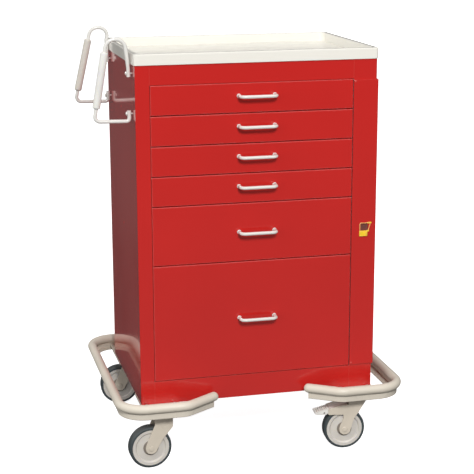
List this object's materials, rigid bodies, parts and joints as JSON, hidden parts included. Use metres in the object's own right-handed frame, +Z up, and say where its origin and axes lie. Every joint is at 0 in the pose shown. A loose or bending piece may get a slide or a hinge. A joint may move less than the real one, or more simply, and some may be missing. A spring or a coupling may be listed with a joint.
{
  "type": "crash cart",
  "caption": "Steel drawer cabinet on swivel casters with a raised work tray, side push handles, a breakaway lock bar and wrap-round bumpers.",
  "frame": {"origin": "centre of the cart's outline, on the floor under it", "axes": "+X to the cart's right as seen from the drawer side, +Y to its back, +Z up"},
  "size_m": [0.8225, 0.647, 1.1335],
  "materials": {
    "red_enamel": "gloss powder coat",
    "ivory_enamel": "gloss enamel",
    "handle_enamel": "gloss powder coat",
    "grip_vinyl": "soft vinyl sleeve",
    "bumper_vinyl": "satin vinyl",
    "bumper_enamel": "satin powder coat",
    "caster_enamel": "satin powder coat",
    "wheel_plastic": "moulded nylon",
    "tread_rubber": "smooth rubber",
    "zinc": "zinc plated",
    "zinc_steel": "galvanised",
    "drawer_enamel": "light grey powder coat",
    "seal_plastic": "moulded plastic"
  },
  "bodies": {
    "root": {"left_side_panel": "red_enamel", "right_side_panel": "red_enamel", "back_panel": "red_enamel", "cabinet_top": "red_enamel", "bottom_pan": "red_enamel", "front_top_rail": "red_enamel", "front_bottom_rail": "red_enamel", "slide_posts": "zinc_steel", "top_tray": "ivory_enamel", "drawer_rails": "zinc_steel", "push_handle_front": "handle_enamel", "push_handle_back": "handle_enamel", "handle_grip_front": "grip_vinyl", "handle_grip_back": "grip_vinyl", "handle_screws": "zinc", "bumper_rail_left": "bumper_vinyl", "bumper_rail_right": "bumper_vinyl", "bumper_skirt_left": "bumper_enamel", "bumper_skirt_right": "bumper_enamel", "caster_brackets": "bumper_enamel", "caster_plates": "bumper_enamel", "caster_bolts": "zinc", "lock_hinge_leaf": "red_enamel", "lock_hinge_pin": "zinc", "lock_staple": "zinc"},
    "lock_bar": {"lock_bar": "red_enamel", "breakaway_seal": "seal_plastic"},
    "drawer_1": {"drawer_1_box": "drawer_enamel", "drawer_1_front": "red_enamel", "drawer_1_pull": "handle_enamel"},
    "drawer_2": {"drawer_2_box": "drawer_enamel", "drawer_2_front": "red_enamel", "drawer_2_pull": "handle_enamel"},
    "drawer_3": {"drawer_3_box": "drawer_enamel", "drawer_3_front": "red_enamel", "drawer_3_pull": "handle_enamel"},
    "drawer_4": {"drawer_4_box": "drawer_enamel", "drawer_4_front": "red_enamel", "drawer_4_pull": "handle_enamel"},
    "drawer_5": {"drawer_5_box": "drawer_enamel", "drawer_5_front": "red_enamel", "drawer_5_pull": "handle_enamel"},
    "drawer_6": {"drawer_6_box": "drawer_enamel", "drawer_6_front": "red_enamel", "drawer_6_pull": "handle_enamel"},
    "caster_front_left_swivel": {"caster_front_left_fork": "caster_enamel"},
    "caster_front_left_roller": {"caster_front_left_wheel": "wheel_plastic", "caster_front_left_tyre": "tread_rubber"},
    "caster_front_right_swivel": {"caster_front_right_fork": "caster_enamel", "caster_brake_pin": "zinc"},
    "caster_front_right_roller": {"caster_front_right_wheel": "wheel_plastic", "caster_front_right_tyre": "tread_rubber"},
    "caster_back_left_swivel": {"caster_back_left_fork": "caster_enamel"},
    "caster_back_left_roller": {"caster_back_left_wheel": "wheel_plastic", "caster_back_left_tyre": "tread_rubber"},
    "caster_back_right_swivel": {"caster_back_right_fork": "caster_enamel"},
    "caster_back_right_roller": {"caster_back_right_wheel": "wheel_plastic", "caster_back_right_tyre": "tread_rubber"},
    "brake_pedal": {"caster_brake_pedal": "caster_enamel"}
  },
  "joints": [
    {"name": "drawer_1_slide", "type": "slide", "parent": "root", "child": "drawer_1", "axis": [0, -1, 0], "range_m": [0, 0.3]},
    {"name": "drawer_2_slide", "type": "slide", "parent": "root", "child": "drawer_2", "axis": [0, -1, 0], "range_m": [0, 0.3]},
    {"name": "drawer_3_slide", "type": "slide", "parent": "root", "child": "drawer_3", "axis": [0, -1, 0], "range_m": [0, 0.3]},
    {"name": "drawer_4_slide", "type": "slide", "parent": "root", "child": "drawer_4", "axis": [0, -1, 0], "range_m": [0, 0.3]},
    {"name": "drawer_5_slide", "type": "slide", "parent": "root", "child": "drawer_5", "axis": [0, -1, 0], "range_m": [0, 0.3]},
    {"name": "drawer_6_slide", "type": "slide", "parent": "root", "child": "drawer_6", "axis": [0, -1, 0], "range_m": [0, 0.3]},
    {"name": "lock_bar_hinge", "type": "hinge", "parent": "root", "child": "lock_bar", "pos_m": [0.3382, -0.212, 0.6], "axis": [0, 0, 1], "range_deg": [0, 175]},
    {"name": "caster_front_left_turn", "type": "hinge", "parent": "root", "child": "caster_front_left_swivel", "pos_m": [-0.2582, -0.251, 0.145], "axis": [0, 0, 1], "continuous": true},
    {"name": "caster_front_left_roll", "type": "hinge", "parent": "caster_front_left_swivel", "child": "caster_front_left_roller", "pos_m": [-0.29368, -0.25224, 0.057], "axis": [-0.0349, 0.9994, 0], "continuous": true},
    {"name": "caster_front_right_turn", "type": "hinge", "parent": "root", "child": "caster_front_right_swivel", "pos_m": [0.2838, -0.251, 0.145], "axis": [0, 0, 1], "continuous": true},
    {"name": "caster_front_right_roll", "type": "hinge", "parent": "caster_front_right_swivel", "child": "caster_front_right_roller", "pos_m": [0.24843, -0.24791, 0.057], "axis": [0.0872, 0.9962, 0], "continuous": true},
    {"name": "caster_back_left_turn", "type": "hinge", "parent": "root", "child": "caster_back_left_swivel", "pos_m": [-0.2582, 0.251, 0.145], "axis": [0, 0, 1], "continuous": true},
    {"name": "caster_back_left_roll", "type": "hinge", "parent": "caster_back_left_swivel", "child": "caster_back_left_roller", "pos_m": [-0.29361, 0.25348, 0.057], "axis": [0.0698, 0.9976, 0], "continuous": true},
    {"name": "caster_back_right_turn", "type": "hinge", "parent": "root", "child": "caster_back_right_swivel", "pos_m": [0.2838, 0.251, 0.145], "axis": [0, 0, 1], "continuous": true},
    {"name": "caster_back_right_roll", "type": "hinge", "parent": "caster_back_right_swivel", "child": "caster_back_right_roller", "pos_m": [0.24843, 0.24791, 0.057], "axis": [-0.0872, 0.9962, 0], "continuous": true},
    {"name": "brake_pedal_press", "type": "hinge", "parent": "caster_front_right_swivel", "child": "brake_pedal", "pos_m": [0.24993, -0.24804, 0.122], "axis": [-0.0872, -0.9962, 0], "range_deg": [0, 10]}
  ]
}
